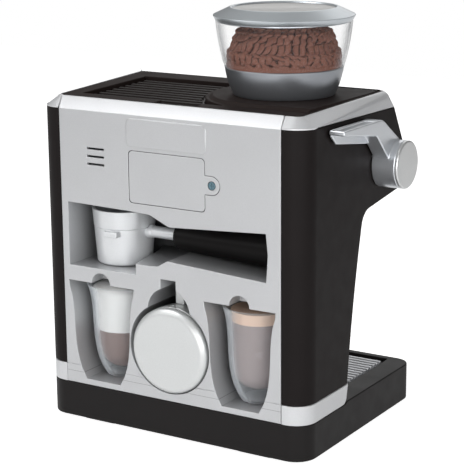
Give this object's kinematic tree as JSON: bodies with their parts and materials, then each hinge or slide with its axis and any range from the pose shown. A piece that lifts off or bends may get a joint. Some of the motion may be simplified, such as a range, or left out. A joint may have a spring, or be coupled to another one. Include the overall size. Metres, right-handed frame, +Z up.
{
  "type": "toy coffee maker",
  "caption": "Toy espresso machine with side lever, bean hopper and a back panel that stores cups, milk jug and portafilter.",
  "frame": {"origin": "centre of the plinth's underside; the foot pads reach 2.5 mm below it", "axes": "+Z up, -Y to the front with dials and brew head, +Y to the back with the storage pockets, -X to the lever's side"},
  "size_m": [0.2373, 0.1686, 0.3009],
  "materials": {
    "black_plastic": "satin brown-black moulding",
    "dark_plastic": "satin dark grey moulding",
    "foot_rubber": "matt soft pads",
    "zinc": "zinc-plated fasteners",
    "silver_plastic": "satin silver paint on plastic",
    "bright_silver": "bright satin silver paint on plastic",
    "hopper_silver": "satin dark silver paint on plastic",
    "clear_plastic": "clear gloss plastic",
    "grounds_brown": "sculpted matt brown",
    "coffee_brown": "gloss milky brown",
    "crema_tan": "gloss tan",
    "foam_white": "gloss white",
    "grip_black": "satin black moulding",
    "cell_wrap": "plain wrapped cells",
    "contact_steel": "nickel-plated spring strip",
    "board_green": "green board",
    "gauge_white": "printed scale marks on white"
  },
  "bodies": {
    "machine": {"base": "black_plastic", "base_plate": "black_plastic", "feet": "foot_rubber", "base_screws": "zinc", "body_shell": "black_plastic", "lower_bands": "bright_silver", "rear_panel": "silver_plastic", "side_trims": "bright_silver", "top_cover": "black_plastic", "cup_tray": "dark_plastic", "hopper_bowl": "hopper_silver", "hopper_jar": "clear_plastic", "coffee_grounds": "grounds_brown", "battery_box": "black_plastic", "battery_contacts": "contact_steel", "battery_cells": "cell_wrap", "speaker": "dark_plastic", "front_panel": "silver_plastic", "gauge_bezel": "hopper_silver", "gauge_face": "gauge_white", "gauge_lens": "clear_plastic", "control_board": "board_green", "group_head": "hopper_silver", "shower_screen": "bright_silver", "grinder_chute": "black_plastic", "wand_socket": "black_plastic"},
    "lever": {"lever_arm": "silver_plastic", "lever_cap": "silver_plastic", "lever_axle": "zinc", "lever_clip": "zinc"},
    "hopper_lid": {"hopper_lid": "silver_plastic"},
    "battery_door": {"battery_door": "silver_plastic", "door_screw": "zinc"},
    "portafilter": {"portafilter_bowl": "silver_plastic", "portafilter_collar": "silver_plastic", "portafilter_neck": "bright_silver", "portafilter_grip": "grip_black", "portafilter_cap": "grip_black"},
    "latte_cup": {"latte_glass": "clear_plastic", "latte_coffee": "coffee_brown", "latte_foam": "foam_white"},
    "espresso_cup": {"espresso_glass": "clear_plastic", "espresso_coffee": "coffee_brown", "espresso_crema": "crema_tan"},
    "jug": {"jug_body": "bright_silver", "jug_foot": "bright_silver", "jug_handle": "bright_silver"},
    "drip_grille": {"drip_grille": "bright_silver"},
    "dose_dial": {"dose_dial": "bright_silver"},
    "mode_dial": {"mode_dial": "bright_silver"},
    "button_left": {"button_left": "bright_silver"},
    "button_middle": {"button_middle": "bright_silver"},
    "button_right": {"button_right": "bright_silver"},
    "steam_wand": {"steam_wand": "bright_silver", "wand_sleeve": "grip_black"}
  },
  "joints": [
    {"name": "lever_pull", "type": "hinge", "parent": "machine", "child": "lever", "pos_m": [-0.115, -0.0265, 0.1893], "axis": [1, 0, 0], "range_deg": [0, 90]},
    {"name": "lid_lift", "type": "slide", "parent": "machine", "child": "hopper_lid", "axis": [0, 0, 1], "range_m": [0, 0.03]},
    {"name": "door_off", "type": "slide", "parent": "machine", "child": "battery_door", "axis": [0, 1, 0], "range_m": [0, 0.02]},
    {"name": "portafilter_out", "type": "slide", "parent": "machine", "child": "portafilter", "axis": [0, 1, 0], "range_m": [0, 0.065]},
    {"name": "latte_cup_out", "type": "slide", "parent": "machine", "child": "latte_cup", "axis": [0, 1, 0], "range_m": [0, 0.06]},
    {"name": "espresso_cup_out", "type": "slide", "parent": "machine", "child": "espresso_cup", "axis": [0, 1, 0], "range_m": [0, 0.06]},
    {"name": "jug_out", "type": "slide", "parent": "machine", "child": "jug", "axis": [0, 1, 0], "range_m": [0, 0.065]},
    {"name": "grille_lift", "type": "slide", "parent": "machine", "child": "drip_grille", "axis": [0, 0, 1], "range_m": [0, 0.015]},
    {"name": "dose_turn", "type": "hinge", "parent": "machine", "child": "dose_dial", "pos_m": [-0.062, -0.05647, 0.20607], "axis": [0, -0.8746, 0.4848], "range_deg": [-135, 135]},
    {"name": "mode_turn", "type": "hinge", "parent": "machine", "child": "mode_dial", "pos_m": [0.062, -0.05647, 0.20607], "axis": [0, -0.8746, 0.4848], "range_deg": [-135, 135]},
    {"name": "press_left", "type": "slide", "parent": "machine", "child": "button_left", "axis": [0, 0.8746, -0.4848], "range_m": [0, 0.0015], "stiffness_N_per_m": 400},
    {"name": "press_middle", "type": "slide", "parent": "machine", "child": "button_middle", "axis": [0, 0.8746, -0.4848], "range_m": [0, 0.0015], "stiffness_N_per_m": 400},
    {"name": "press_right", "type": "slide", "parent": "machine", "child": "button_right", "axis": [0, 0.8746, -0.4848], "range_m": [0, 0.0015], "stiffness_N_per_m": 400},
    {"name": "wand_swing", "type": "hinge", "parent": "machine", "child": "steam_wand", "pos_m": [0.08, -0.0393, 0.1606], "axis": [0, 0, 1], "range_deg": [-60, 60]}
  ]
}
